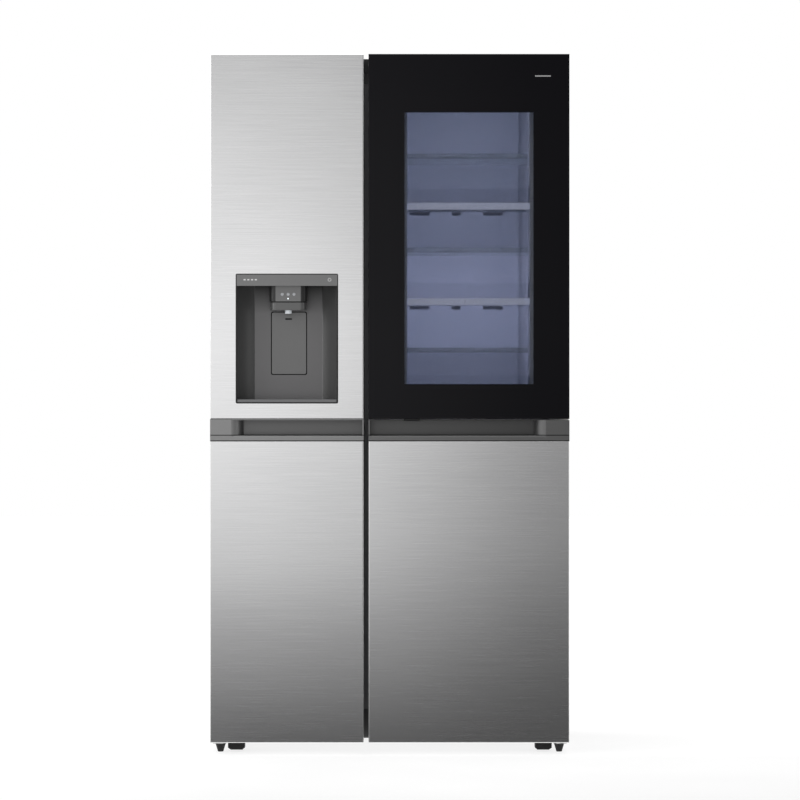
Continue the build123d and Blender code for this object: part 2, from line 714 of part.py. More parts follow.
def nozzle_storey(half_width, z):
    """One storey of the nozzle turret, with two rounded corners in front and flat behind."""
    corner = half_width / 3
    storey = block(grown((NOZZLE_X, NOZZLE_X), half_width), (SCOOP_BACK - half_width, SCOOP_BACK), z)
    return fillet(storey.edges().filter_by(Axis.Z).group_by(Axis.Y)[0], corner)


def make_freezer_door():
    """Skins, foam, handle, inner liner, seal, bins and ice bin of the left door."""
    x = FREEZER_DOOR
    lower_z = (DOOR_BOTTOM, HANDLE[0])
    upper_z = (HANDLE[1], HEIGHT)
    window = panel(SCOOP_X, (FRONT - 1, HOUSING_BACK), SCOOP_Z, 4)
    upper_skin = skin(x, upper_z, (HANDLE[1], HANDLE[1] + SHEET)) - window - LEFT_HINGE_CUT
    save("freezer_upper_skin", upper_skin)
    lower_skin = skin(x, lower_z, (HANDLE[0] - SHEET, HANDLE[0])) - LEFT_HINGE_CUT
    save("freezer_lower_skin", lower_skin)

    inside_x = grown(x, -SHEET)
    core = block(inside_x, (HANDLE_BACK, LINER_FRONT), (DOOR_BOTTOM + SHEET, HEIGHT - SHEET))
    core += front_foam(x, lower_z) + front_foam(x, upper_z)
    core -= window
    core -= chute(CHUTE_TUBE)
    core -= LEFT_HINGE_CUT
    save("freezer_core", core)

    pocket_x = (x[0], x[1] - 3)
    trim = handle_trim(x, pocket_x, x[0] + 53.5, -1, HANDLE[1], HANDLE[1] - 2)
    save("freezer_handle", trim)

    dike_x = (-391.0, -127.0)
    liner = inner_panel(x, LEFT_HINGE_CUT, dike_x, (120, 1700), -196)
    save("freezer_door_liner", liner - chute(CHUTE_TUBE))
    save("freezer_gasket", gasket((-434, -75)))

    bin_x = grown(dike_x, -4.5)
    bin_height = 120
    bins = [door_bin(bin_x, LOW_INNER_BACK, (z, z + bin_height)) for z in (130, 350)]
    bins += [door_bin(bin_x, INNER_BACK, (z, z + bin_height)) for z in (570, 790, 1010)]
    save("freezer_bins", *bins)

    ice_bin = open_bin(bin_x, (DOOR_BACK + 2, INNER_BACK), (1236, 1520), 2.5)
    ice_bin += block(grown(bin_x, -2), (DOOR_BACK + 2, INNER_BACK - 3), (1236, 1250))
    save("ice_bin", ice_bin - chute(CHUTE_BORE))


# ---------------------------------------------------------------- fridge door
def make_fridge_door():
    """Skin, foam, handle, inner liner, seal and bins of the right door."""
    x = FRIDGE_DOOR
    lower_z = (DOOR_BOTTOM, HANDLE[0])
    lower_skin = skin(x, lower_z, (HANDLE[0] - SHEET, HANDLE[0])) - RIGHT_HINGE_CUT
    save("fridge_lower_skin", lower_skin)

    inside_x = grown(x, -SHEET)
    core = block(inside_x, (HANDLE_BACK, LINER_FRONT), (DOOR_BOTTOM + SHEET, TRIM_TOP))
    core += front_foam(x, lower_z)
    upper_x = grown(x, -RING_SHEET)
    core += block(upper_x, (RING_FRONT + RING_SHEET, LINER_FRONT), (TRIM_TOP, HEIGHT - RING_SHEET))
    core -= block(BASKET_X, (FRONT, BACK), BASKET_Z)
    core -= RIGHT_HINGE_CUT
    save("fridge_core", core)

    pocket_x = (x[0] + 3, x[1])
    trim = handle_trim(x, pocket_x, x[1] - 59.5, 1, TRIM_TOP, TRIM_TOP + 2)
    save("fridge_handle", trim)

    dike_x = (6.0, 391.0)
    liner = inner_panel(x, RIGHT_HINGE_CUT, dike_x, (120, 880), -196)
    save("fridge_door_liner", liner - block(BASKET_X, (FRONT, BACK), BASKET_Z))
    save("fridge_gasket", gasket((-45, 434)))
    bin_x = grown(dike_x, -4.5)
    bin_height = 130
    bins = [door_bin(bin_x, LOW_INNER_BACK, (z, z + bin_height)) for z in (130, 350)]
    bins.append(door_bin(bin_x, INNER_BACK, (600, 600 + bin_height)))
    save("fridge_bins", *bins)


BASKET_WALL = 3.0
RAIL_HEIGHTS = (1388.0, 1144.0, 905.0)


def make_basket_frame():
    """Face of the main door behind the glass door, with a tunnel that holds the baskets."""
    face = block(FRIDGE_DOOR, (RING_FRONT, LINER_FRONT), (TRIM_TOP, HEIGHT))
    face -= block(grown(FRIDGE_DOOR, -RING_SHEET), (RING_FRONT + RING_SHEET, BACK), (0, HEIGHT - RING_SHEET))
    face += block(BASKET_X, (RING_FRONT, INNER_BACK), BASKET_Z)
    face -= block(grown(BASKET_X, -BASKET_WALL), (FRONT, BACK), grown(BASKET_Z, -BASKET_WALL))
    save("basket_frame", face - RIGHT_HINGE_CUT)

    baskets = []
    basket_x = grown(BASKET_X, -BASKET_WALL - 0.5)
    front = RING_FRONT + 4
    for height in RAIL_HEIGHTS:
        basket = block(basket_x, (front, INNER_BACK), (height, height + 3))
        basket += block(basket_x, (front, front + 5), (height, height + 17))
        basket += block(basket_x, (INNER_BACK - 3, INNER_BACK), (height, height + 60))
        baskets.append(basket)
    save("basket_bins", *baskets)


# ---------------------------------------------------------------- outer glass door
VIEW_NOTCH_TOP = 1744.0
VIEW_NOTCH_BOTTOM = 870.0


def view_cuts():
    """Notches and pin holes for the glass door's hinges."""
    notch_x = (VIEW_AXIS[0] - 15, RIGHT + 1)
    notch_y = (VIEW_AXIS[1] - 16, VIEW_BACK + 1)
    cuts = block(notch_x, notch_y, (VIEW_NOTCH_TOP, HEIGHT + 1))
    cuts += block(notch_x, notch_y, (VIEW_BOTTOM - 1, VIEW_NOTCH_BOTTOM))
    cuts += rod("z", VIEW_PIN + RUNNING, VIEW_AXIS, (1720, VIEW_NOTCH_TOP + 1))
    return cuts + rod("z", VIEW_PIN + RUNNING, VIEW_AXIS, (VIEW_NOTCH_BOTTOM - 1, 894))


def ear(plate_z, base_z, pin_z):
    """One hinge of the glass door: an ear with a round nose, a small base and a pin."""
    x, y = VIEW_AXIS
    shape = block((x - 9, x + 9), (y, RING_FRONT), plate_z) + rod("z", 11, VIEW_AXIS, plate_z)
    shape += block((x - 13, x + 13), (RING_FRONT - 3, RING_FRONT), base_z)
    return shape + rod("z", VIEW_PIN, VIEW_AXIS, pin_z)


LEVER_X = (36.0, 76.0)
LEVER_Y = (FRONT + 15.5, FRONT + 37.5)


def make_view_door():
    """Glass, frame, inner pane, seal, hinges and release lever."""
    cuts = view_cuts()
    z = (VIEW_BOTTOM, HEIGHT)
    glass = rounded_front(FRIDGE_DOOR, (FRONT, FRONT + GLASS), z, 1.2)
    save("view_glass", glass)

    frame = block(grown(FRIDGE_DOOR, -0.5), (FRONT + GLASS, VIEW_BACK), grown(z, -0.5))
    frame -= block(WINDOW_X, (FRONT, BACK), WINDOW_Z)
    frame -= cuts
    lever_room = 0.4
    frame -= block(grown(LEVER_X, lever_room), grown(LEVER_Y, lever_room), (VIEW_BOTTOM - 1, 872))
    save("view_frame", frame)

    pane_y = (VIEW_BACK - 2 - GLASS, VIEW_BACK - 2)
    save("view_inner_glass", block(WINDOW_X, pane_y, WINDOW_Z))
    save("view_gasket", ring((-40, 424), (VIEW_BACK, RING_FRONT - 0.3), (872, 1740), 14))

    top_ear = ear((1748, 1751), (1746, 1755), (1723, 1748))
    bottom_ear = ear((863, 866), (858, 868), (866, 891))
    save("view_hinges", top_ear, bottom_ear)

    lever = block(LEVER_X, LEVER_Y, (848, 864))
    lever = fillet(lever.edges().filter_by(Axis.X).group_by(Axis.Z)[0], 3)
    save("view_lever", lever)


make_case()
make_insulation()
make_liner("freezer_liner", FREEZER_HOLLOW, FREEZER_SHELVES)
make_liner("fridge_liner", FRIDGE_HOLLOW, FRIDGE_SHELVES)
make_shelves("freezer_shelves", FREEZER_HOLLOW, FREEZER_SHELVES)
make_shelves("fridge_shelves", FRIDGE_HOLLOW, FRIDGE_SHELVES)
make_base()
make_freezer_duct()
make_evaporator_fan()
make_evaporator()
make_fridge_duct()
make_lamps()
make_compressor()
make_condenser()
make_fan_bracket()
make_condenser_fan()
make_water_valve()
make_power_inlet()
make_machine_cover()
make_top_hinges()
make_top_covers()
make_bottom_hinges()
make_feet()
make_rollers()
make_screws()
make_drawers()
make_dispenser()
make_freezer_door()
make_fridge_door()
make_basket_frame()
make_view_door()
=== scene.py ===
import math

import bmesh
import bpy
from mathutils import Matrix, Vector


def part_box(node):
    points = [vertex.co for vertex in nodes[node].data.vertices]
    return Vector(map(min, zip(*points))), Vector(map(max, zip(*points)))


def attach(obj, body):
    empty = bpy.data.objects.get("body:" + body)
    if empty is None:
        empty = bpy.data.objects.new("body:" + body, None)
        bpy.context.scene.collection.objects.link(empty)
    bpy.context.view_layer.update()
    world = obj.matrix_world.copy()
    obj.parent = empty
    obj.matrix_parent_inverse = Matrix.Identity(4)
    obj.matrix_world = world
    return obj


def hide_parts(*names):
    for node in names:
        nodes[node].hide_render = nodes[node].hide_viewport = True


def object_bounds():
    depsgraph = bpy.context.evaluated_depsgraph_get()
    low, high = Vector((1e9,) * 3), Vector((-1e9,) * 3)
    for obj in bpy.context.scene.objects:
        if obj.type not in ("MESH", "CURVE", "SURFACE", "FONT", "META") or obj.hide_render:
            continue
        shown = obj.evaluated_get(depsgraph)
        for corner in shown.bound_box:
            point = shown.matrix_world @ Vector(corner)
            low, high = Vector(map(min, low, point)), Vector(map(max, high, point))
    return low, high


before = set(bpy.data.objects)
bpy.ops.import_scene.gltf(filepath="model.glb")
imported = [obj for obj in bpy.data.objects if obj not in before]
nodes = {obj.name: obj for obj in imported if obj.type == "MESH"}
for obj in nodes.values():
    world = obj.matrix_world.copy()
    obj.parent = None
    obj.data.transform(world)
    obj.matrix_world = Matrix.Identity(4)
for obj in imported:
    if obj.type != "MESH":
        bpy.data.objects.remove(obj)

cad_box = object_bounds()
low, high = cad_box
bpy.ops.object.select_all(action="DESELECT")

# ---------------------------------------------------------------- room: camera, floor, light
# A white studio. The camera looks straight at the doors from far away, a long way back so that
# the sides stay hidden. A large graded light card in front gives the steel its soft fall-off.

CAMERA_DISTANCE = 10.0
VIEW_WIDTH = 2.032
CAMERA_HEIGHT = 0.901
CAMERA_ASIDE = 0.026
SENSOR = 36.0

camera_data = bpy.data.cameras.new("studio_camera")
camera_data.sensor_width = SENSOR
camera_data.lens = SENSOR * CAMERA_DISTANCE / VIEW_WIDTH
camera = bpy.data.objects.new("studio_camera", camera_data)
camera.location = (CAMERA_ASIDE, low.y - CAMERA_DISTANCE, CAMERA_HEIGHT)
camera.rotation_euler = (math.radians(90), 0, 0)
bpy.context.scene.collection.objects.link(camera)
bpy.context.scene.camera = camera
bpy.context.scene.view_settings.view_transform = "Standard"


class Wire:
    """A node socket that adds a Math node for every sum written with it."""

    def __init__(self, finish, socket):
        self.finish = finish
        self.socket = socket

    def math(self, operation, first, second):
        return self.finish.node("ShaderNodeMath", {"operation": operation}, {0: first, 1: second})

    def __add__(self, other):
        return self.math("ADD", self, other)

    def __radd__(self, other):
        return self.math("ADD", other, self)

    def __sub__(self, other):
        return self.math("SUBTRACT", self, other)

    def __rsub__(self, other):
        return self.math("SUBTRACT", other, self)

    def __mul__(self, other):
        return self.math("MULTIPLY", self, other)

    def __rmul__(self, other):
        return self.math("MULTIPLY", other, self)

    def __truediv__(self, other):
        return self.math("DIVIDE", self, other)

    def __gt__(self, other):
        return self.math("GREATER_THAN", self, other)

    def __lt__(self, other):
        return self.math("LESS_THAN", self, other)

    def __abs__(self):
        return self.math("ABSOLUTE", self, 0.0)


class Finish:
    """A material made of nodes."""

    def __init__(self, name):
        self.material = bpy.data.materials.new(name)
        self.material.use_nodes = True
        self.tree = self.material.node_tree
        self.tree.nodes.clear()
        self.surface = self.tree.nodes.new("ShaderNodeOutputMaterial").inputs["Surface"]
        self.shader = None
        self.place = self.node("ShaderNodeTexCoord", {}, {}, "Object")

    def node(self, kind, settings, values, output=0):
        """Add any node: its settings first, then the values or links of its sockets."""
        made = self.tree.nodes.new(kind)
        for name, value in settings.items():
            if name == "stops":
                self.set_stops(made.color_ramp, value)
            else:
                setattr(made, name, value)
        for name, value in values.items():
            if isinstance(value, Wire):
                self.tree.links.new(value.socket, made.inputs[name])
            else:
                made.inputs[name].default_value = value
        return Wire(self, made.outputs[output])

    def set_stops(self, ramp, stops):
        ramp.elements[0].position = stops[0][0]
        ramp.elements[1].position = stops[-1][0]
        for position, _ in stops[1:-1]:
            ramp.elements.new(position)
        for element, (_, value) in zip(ramp.elements, stops):
            element.color = (value, value, value, 1.0)

    def along(self, axis):
        """The place along X, Y or Z, in metres."""
        return self.node("ShaderNodeSeparateXYZ", {}, {0: self.place}, axis)

    def noise(self, stretch, detail=3.0, roughness=0.55):
        """Noise with its own scale along each axis, per metre."""
        scaled = self.node("ShaderNodeVectorMath", {"operation": "MULTIPLY"}, {0: self.place, 1: stretch})
        values = {"Vector": scaled, "Scale": 1.0, "Detail": detail, "Roughness": roughness}
        return self.node("ShaderNodeTexNoise", {}, values, "Fac")

    def mix(self, factor, first, second):
        """A colour between two colours."""
        return self.node(
            "ShaderNodeMix", {"data_type": "RGBA"}, {"Factor": factor, 6: first, 7: second}, 2
        )

    def bump(self, height, strength, distance):
        return self.node("ShaderNodeBump", {}, {"Height": height, "Strength": strength, "Distance": distance})

    def principled(self, values):
        self.shader = self.node("ShaderNodeBsdfPrincipled", {}, values)
        self.tree.links.new(self.shader.socket, self.surface)
        return self.material

    def between(self, axis, span):
        """One inside the given span along an axis, nought outside."""
        place = self.along(axis)
        return (place > span[0]) * (place < span[1])


def grey(value):
    return (value, value, value, 1.0)


def paint(node, material):
    """Give a CAD node its finish."""
    data = nodes[node].data
    data.materials.clear()
    data.materials.append(material)


world = bpy.data.worlds.new("white_room")
bpy.context.scene.world = world
world.use_nodes = True
world.node_tree.nodes["Background"].inputs["Color"].default_value = (1.0, 1.0, 1.0, 1.0)
world.node_tree.nodes["Background"].inputs["Strength"].default_value = 1.0

CARD_DISTANCE = 1.25
CARD_HEIGHT = 2.4
CARD_WIDTH = 4.0


def card_finish():
    """Light, brightest about a metre up, that falls off upwards, downwards and to the right."""
    card = Finish("light_card")
    by_height = card.node(
        "ShaderNodeValToRGB",
        {"stops": [(0.0, 0.2), (0.1, 0.45), (0.2, 0.95), (0.45, 1.2), (0.65, 1.0), (0.8, 0.7), (1.0, 0.6)]},
        {"Fac": card.along("Z") / CARD_HEIGHT},
    )
    by_side = card.node(
        "ShaderNodeValToRGB",
        {"stops": [(0.0, 1.0), (0.4, 1.0), (0.5, 0.79), (0.6, 0.35), (0.66, 0.28), (1.0, 0.3)]},
        {"Fac": card.along("X") / CARD_WIDTH + 0.5},
    )
    light = card.node("ShaderNodeEmission", {}, {"Strength": by_height * by_side})
    card.tree.links.new(light.socket, card.surface)
    return card.material


bpy.ops.mesh.primitive_plane_add(size=1.0)
light_card = bpy.context.object
light_card.name = "light_card"
card_y = low.y - CARD_DISTANCE
for vertex in light_card.data.vertices:
    vertex.co = Vector((vertex.co.x * CARD_WIDTH, card_y, (vertex.co.y + 0.5) * CARD_HEIGHT))
light_card.data.materials.append(card_finish())
light_card.visible_camera = False
light_card.visible_shadow = False

bpy.ops.mesh.primitive_plane_add(size=40.0, location=(0, 0, -0.0005))
floor = bpy.context.object
floor.name = "pale_floor"
bpy.ops.object.transform_apply(location=True, rotation=True, scale=True)
floor_finish = Finish("pale_floor")
floor_tone = floor_finish.mix(floor_finish.noise((0.8, 0.8, 0.8)), grey(0.22), grey(0.26))
floor.data.materials.append(floor_finish.principled({
    "Base Color": floor_tone, "Roughness": 0.7, "Specular IOR Level": 0.1,
    "Emission Color": floor_tone, "Emission Strength": 3.2,
}))

# A dark flag lies on the floor in front of the doors. Only reflections see it, so the steel darkens
# towards its foot while the floor itself stays pale.
FLAG_GAP = 0.02
FLAG_LIFT = 0.0005
bpy.ops.mesh.primitive_plane_add(size=1.0)
flag = bpy.context.object
flag.name = "floor_flag"
for vertex in flag.data.vertices:
    flag_y = low.y - FLAG_GAP + (vertex.co.y - 0.5) * CARD_DISTANCE
    vertex.co = Vector((vertex.co.x * CARD_WIDTH, flag_y, FLAG_LIFT))
flag_finish = Finish("floor_flag")
flag.data.materials.append(flag_finish.principled({
    "Base Color": flag_finish.mix(flag_finish.noise((1.0, 1.0, 1.0)), grey(0.05), grey(0.07)),
    "Roughness": 0.9, "Specular IOR Level": 0.0,
}))
flag.visible_camera = False
flag.visible_diffuse = False
flag.visible_transmission = False
flag.visible_shadow = False


def soft_light(name, place, aim, size, power, colour=(1.0, 1.0, 1.0)):
    """An area light turned towards a point."""
    data = bpy.data.lights.new(name, "AREA")
    data.shape = "RECTANGLE"
    data.size = size[0]
    data.size_y = size[1]
    data.energy = power
    data.color = colour
    lamp = bpy.data.objects.new(name, data)
    lamp.location = place
    lamp.rotation_euler = (Vector(aim) - Vector(place)).to_track_quat("-Z", "Y").to_euler()
    lamp.visible_camera = False
    bpy.context.scene.collection.objects.link(lamp)
    return lamp


soft_light("left_light", (-3.0, -1.5, 2.4), (0, 0, 0.9), (2.0, 2.0), 40)
soft_light("top_light", (0, 0.3, 3.6), (0, 0, 1.0), (2.5, 2.5), 30)

# ---------------------------------------------------------------- cabinet wrap
# Side panels, top and folded front are one wrap of pre-painted steel sheet, with a fine pebbled
# coat. The rear sheet and the slotted cover below it are painted in lighter greys.


def coated_sheet(name, tone):
    """Painted metal with a fine pebble in the coat."""
    coat = Finish(name)
    cloud = coat.noise((3.0, 3.0, 3.0))
    pebble = coat.noise((900.0, 900.0, 900.0), 2.0)
    colour = coat.mix(cloud, grey(tone * 0.9), grey(tone * 1.12))
    return coat.principled({
        "Base Color": colour,
        "Metallic": 0.35,
        "Roughness": 0.38 + cloud * 0.1,
        "Normal": coat.bump(pebble, 0.12, 0.0004),
    })


case_coat = coated_sheet("case_coat", 0.105)
paint("outer_case", case_coat)
paint("rear_panel", coated_sheet("rear_sheet", 0.3))
paint("machine_cover", coated_sheet("machine_cover_sheet", 0.2))


# ---------------------------------------------------------------- plastics
# Covers, caps, feet, rollers and the mullion strip are injection moulded. The grain is spark
# eroded into the mould, so it is finer than a millimetre.


def moulded(name, colour, roughness, grain=0.1, alpha=1.0, metallic=0.0):
    """Moulded plastic with faint flow marks and a fine grain."""
    plastic = Finish(name)
    flow = plastic.noise((9.0, 9.0, 3.0))
    fine = plastic.noise((1300.0, 1300.0, 1300.0), 2.0)
    darker = tuple(part * 0.92 for part in colour) + (1.0,)
    lighter = tuple(min(1.0, part * 1.06) for part in colour) + (1.0,)
    return plastic.principled({
        "Base Color": plastic.mix(flow, darker, lighter),
        "Metallic": metallic,
        "Roughness": roughness + flow * 0.08,
        "Alpha": alpha,
        "Normal": plastic.bump(fine, grain, 0.0002),
    })


black_plastic = moulded("black_plastic", (0.012, 0.012, 0.013), 0.45)
for node in ("top_covers", "fan_bracket", "condenser_fan", "power_inlet", "view_frame", "view_lever"):
    paint(node, black_plastic)
black_rubber = moulded("black_rubber", (0.003, 0.003, 0.0032), 0.6)
for node in ("front_rollers", "rear_rollers", "left_foot", "right_foot"):
    paint(node, black_rubber)
paint("mullion_strip", moulded("mullion_strip", (0.3, 0.3, 0.31), 0.5))


# ---------------------------------------------------------------- foam
# The walls and doors are filled with foamed polyurethane. It shows in the hinge notches at the door
# tops, where it is painted black as the shade in the notch, and as a thin bare line above the machine cover.
NOTCH_DEPTH = 0.025
NOTCH_REACH = 0.037


def foam_finish():
    """Cream foam with an open cell pattern, painted black as shade in the hinge notches."""
    foam = Finish("filling_foam")
    cells = foam.node("ShaderNodeTexVoronoi", {}, {"Vector": foam.place, "Scale": 450.0}, "Distance")
    colour = foam.mix(cells, (0.74, 0.64, 0.38, 1.0), (0.86, 0.78, 0.52, 1.0))
    # Painted shade: the foam in the hinge notches at the door tops is coloured near black.
    notch_shade = (foam.along("Z") > (high.z - NOTCH_DEPTH)) * (abs(foam.along("X")) > (high.x - NOTCH_REACH))
    colour = foam.mix(notch_shade, colour, grey(0.01))
    return foam.principled({"Base Color": colour, "Roughness": 0.9, "Normal": foam.bump(cells, 0.5, 0.001)})


filling = foam_finish()
for node in ("insulation", "freezer_core", "fridge_core"):
    paint(node, filling)

# ---------------------------------------------------------------- bare metal
# Base plate, hinges and screws are zinc plated pressed steel, which has a fine crystal flake.
# The coil and the condenser are aluminium fins on tubes. The compressor and the roller housings
# have a black coat.


def plated(name, tone, flake):
    """Plated or raw sheet with a crystal flake."""
    metal = Finish(name)
    crystals = metal.node("ShaderNodeTexVoronoi", {}, {"Vector": metal.place, "Scale": flake}, "Color")
    tint = metal.node("ShaderNodeSeparateColor", {}, {0: crystals}, 0)
    return metal.principled({
        "Base Color": metal.mix(tint, grey(tone * 0.85), grey(tone)),
        "Metallic": 1.0,
        "Roughness": 0.3 + tint * 0.14,
    })


zinc = plated("zinc_plate", 0.62, 300.0)
for node in ("base_plate", "top_hinges", "bottom_hinges", "cabinet_screws", "view_hinges"):
    paint(node, zinc)
fins = plated("fin_stock", 0.75, 700.0)
for node in ("condenser", "evaporator"):
    paint(node, fins)
black_coat = coated_sheet("black_coat", 0.008)
paint("compressor", black_coat)
paint("roller_housings", black_coat)

# ---------------------------------------------------------------- compartment liners
# Each compartment is a vacuum formed tub of white styrene. The freezer's duct, its fan and the
# water valve are moulded in the same white, and the fridge's air column in a slightly greyer one.

white_liner = moulded("white_liner", (0.78, 0.8, 0.84), 0.3)
for node in ("freezer_liner", "fridge_liner", "freezer_door_liner", "fridge_door_liner", "basket_frame",
             "freezer_duct", "evaporator_fan", "water_valve"):
    paint(node, white_liner)
paint("fridge_duct", moulded("duct_cover", (0.66, 0.69, 0.75), 0.35))


def lamp_finish():
    """Milky lens with the glow of the light strip behind it."""
    lens = Finish("lamp_lens")
    prisms = lens.node("ShaderNodeTexWave", {"bands_direction": "X"},
                       {"Vector": lens.place, "Scale": 120.0}, "Fac")
    glow = lens.mix(prisms, (0.8, 0.86, 1.0, 1.0), (0.95, 0.97, 1.0, 1.0))
    return lens.principled({
        "Base Color": glow,
        "Roughness": 0.35,
        "Emission Color": glow,
        "Emission Strength": 3.0,
        "Normal": lens.bump(prisms, 0.3, 0.0005),
    })


paint("lamp_lenses", lamp_finish())
fridge_low, fridge_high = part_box("fridge_liner")
fridge_middle = (fridge_low.x + fridge_high.x) / 2
COOL_WHITE = (0.67, 0.69, 1.0)
soft_light("ceiling_lamp", (fridge_middle, -0.09, fridge_high.z - 0.02),
           (fridge_middle, 0.1, 0.9), (0.3, 0.08), 0.1, COOL_WHITE)
for lamp_height, power in ((1.56, 0.34), (1.27, 0.7), (1.03, 0.5)):
    soft_light("wall_lamp", (fridge_middle, -0.12, lamp_height), (fridge_middle, 0.3, lamp_height - 0.03),
               (0.36, 0.1), power, COOL_WHITE)

# ---------------------------------------------------------------- shelves and bins
# Toughened glass plates with a moulded front rail, and clear styrene bins and drawers.


def clear_sheet(name, tint, alpha, edge_alpha=0.3):
    """Clear sheet that is denser where it is seen along its surface."""
    clear = Finish(name)
    haze = clear.noise((14.0, 14.0, 14.0))
    colour = clear.mix(haze, tint + (1.0,), grey(0.9))
    edge = clear.node("ShaderNodeLayerWeight", {}, {"Blend": 0.3}, "Facing")
    return clear.principled({
        "Base Color": colour,
        "Roughness": 0.06 + haze * 0.05,
        "Alpha": alpha + edge * edge_alpha,
        "Specular IOR Level": 0.5,
    })


shelf_glass = clear_sheet("shelf_glass", (0.62, 0.8, 0.78), 0.3)
bin_plastic = clear_sheet("bin_plastic", (0.74, 0.8, 0.88), 0.3)
for node in ("freezer_shelves", "fridge_shelves"):
    paint(node, shelf_glass)
for node in ("freezer_bins", "fridge_bins", "ice_bin", "freezer_drawer", "fridge_drawer_high",
             "fridge_drawer_low"):
    paint(node, bin_plastic)

# ---------------------------------------------------------------- door seals
# Soft extruded vinyl with a magnet inside and a bellows of small ribs beside it.


def seal_finish():
    """Grey vinyl with fine ribs along and across the strip, painted darker as shade in their grooves."""
    seal = Finish("seal_vinyl")
    ribs_x = seal.node("ShaderNodeMath", {"operation": "SINE"}, {0: seal.along("X") * 2400.0})
    ribs_z = seal.node("ShaderNodeMath", {"operation": "SINE"}, {0: seal.along("Z") * 2400.0})
    height = (ribs_x + ribs_z) * 0.25
    # Painted shade: the colour follows the ribs, dark in the grooves and light on the crests.
    colour = seal.mix(height + 0.5, grey(0.11), grey(0.2))
    return seal.principled({
        "Base Color": colour, "Roughness": 0.62, "Normal": seal.bump(height, 0.3, 0.0006),
    })


seal_vinyl = seal_finish()
for node in ("freezer_gasket", "fridge_gasket", "view_gasket"):
    paint(node, seal_vinyl)

# ---------------------------------------------------------------- steel door skins
# Stainless sheet brushed sideways with a belt, which leaves long hair lines and a few short bright
# scratches, then folded over the door edges. The folded edges are painted light as a highlight.


def brushed_steel():
    """Stainless steel with horizontal brush lines, and folded edges painted plain light grey as a highlight.

    The edges are told from the front by the way they face in the room, which is right only on a
    shut door. On an open door the wide front loses its lines and its side edge takes them.
    """
    steel = Finish("brushed_steel")
    hair = steel.noise((2.0, 60.0, 1300.0), 4.0, 0.7)
    strokes = steel.noise((7.0, 60.0, 480.0), 2.0, 0.6)
    cloud = steel.noise((1.2, 1.2, 2.0), 2.0)
    lines = hair * 0.6 + strokes * 0.4
    tone = lines * 0.7 + cloud * 0.3
    colour = steel.mix(tone, (0.44, 0.44, 0.445, 1.0), (0.92, 0.92, 0.925, 1.0))
    # Painted highlight: every face that does not look straight forward, the folded edges, is light grey.
    normal = steel.node("ShaderNodeNewGeometry", {}, {}, "Normal")
    edge_highlight = steel.node("ShaderNodeSeparateXYZ", {}, {0: normal}, "Y") > -0.9
    return steel.principled({
        "Base Color": steel.mix(edge_highlight, colour, grey(0.86)),
        "Metallic": 1.0,
        "Roughness": 0.2 + lines * 0.12,
        "Normal": steel.bump(lines, 0.05, 0.0003),
    })


steel_skin = brushed_steel()
for node in ("freezer_upper_skin", "freezer_lower_skin", "fridge_lower_skin"):
    paint(node, steel_skin)

# ---------------------------------------------------------------- recessed handles
# One moulded strip per door, sprayed with a metallic grey lacquer.


SEAM_TONE = 0.012


def lacquered(name, tone, roughness, depth, deep_shade_share, seams=()):
    """Grey lacquer with fine metal flakes. It is painted darker as shade between two places along Y, and dark
    in the seams.
    """
    lacquer = Finish(name)
    flakes = lacquer.node("ShaderNodeTexVoronoi", {}, {"Vector": lacquer.place, "Scale": 2600.0}, "Color")
    sparkle = lacquer.node("ShaderNodeSeparateColor", {}, {0: flakes}, 0)
    cloud = lacquer.noise((5.0, 5.0, 5.0))
    colour = lacquer.mix(sparkle * 0.6 + cloud * 0.4, grey(tone * 0.86), grey(tone * 1.12))
    # Painted shade: the lacquer darkens the further back along Y it lies, deep in a pocket or slot.
    depth_shade = (lacquer.along("Y") - depth[0]) / (depth[1] - depth[0])
    colour = lacquer.mix(depth_shade, colour, grey(tone * deep_shade_share))
    for seam in seams:
        colour = lacquer.mix(lacquer.between("Z", seam), colour, grey(SEAM_TONE))
    return lacquer.principled({
        "Base Color": colour,
        "Metallic": 0.75,
        "Roughness": roughness + cloud * 0.06,
        "Normal": lacquer.bump(sparkle, 0.04, 0.0002),
    })


GRIP_DEPTH = 0.014
LIP_RISE = 0.0135
SEAM = 0.0022
# Each grip is painted darker as shade towards the back of its pocket.
for node, tone, deep_shade_share in (("freezer_handle", 0.24, 0.62), ("fridge_handle", 0.15, 0.75)):
    grip_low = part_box(node)[0]
    lip_line = grip_low.z + LIP_RISE
    seams = ((grip_low.z - SEAM, grip_low.z + SEAM * 0.6), (lip_line, lip_line + SEAM))
    grip_depth = (grip_low.y + 0.001, grip_low.y + GRIP_DEPTH)
    paint(node, lacquered(node + "_lacquer", tone, 0.38, grip_depth, deep_shade_share, seams))

# ---------------------------------------------------------------- dispenser
# A scooped housing in grey lacquer with a dark joint around it. The band across its head is the
# touch panel, whose marks are printed behind the surface. The turret holds the water spout.

scoop_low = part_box("dispenser_housing")[0]
band_low, band_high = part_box("dispenser_fascia")
turret_low, turret_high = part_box("dispenser_nozzle")
turret_middle = (turret_low.x + turret_high.x) / 2


paddle_low, paddle_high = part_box("dispenser_paddle")
paddle_middle = (paddle_low.x + paddle_high.x) / 2
PANEL_HALF = 0.0867
SHADED_HEAD = 0.07
JOINT = 0.0024


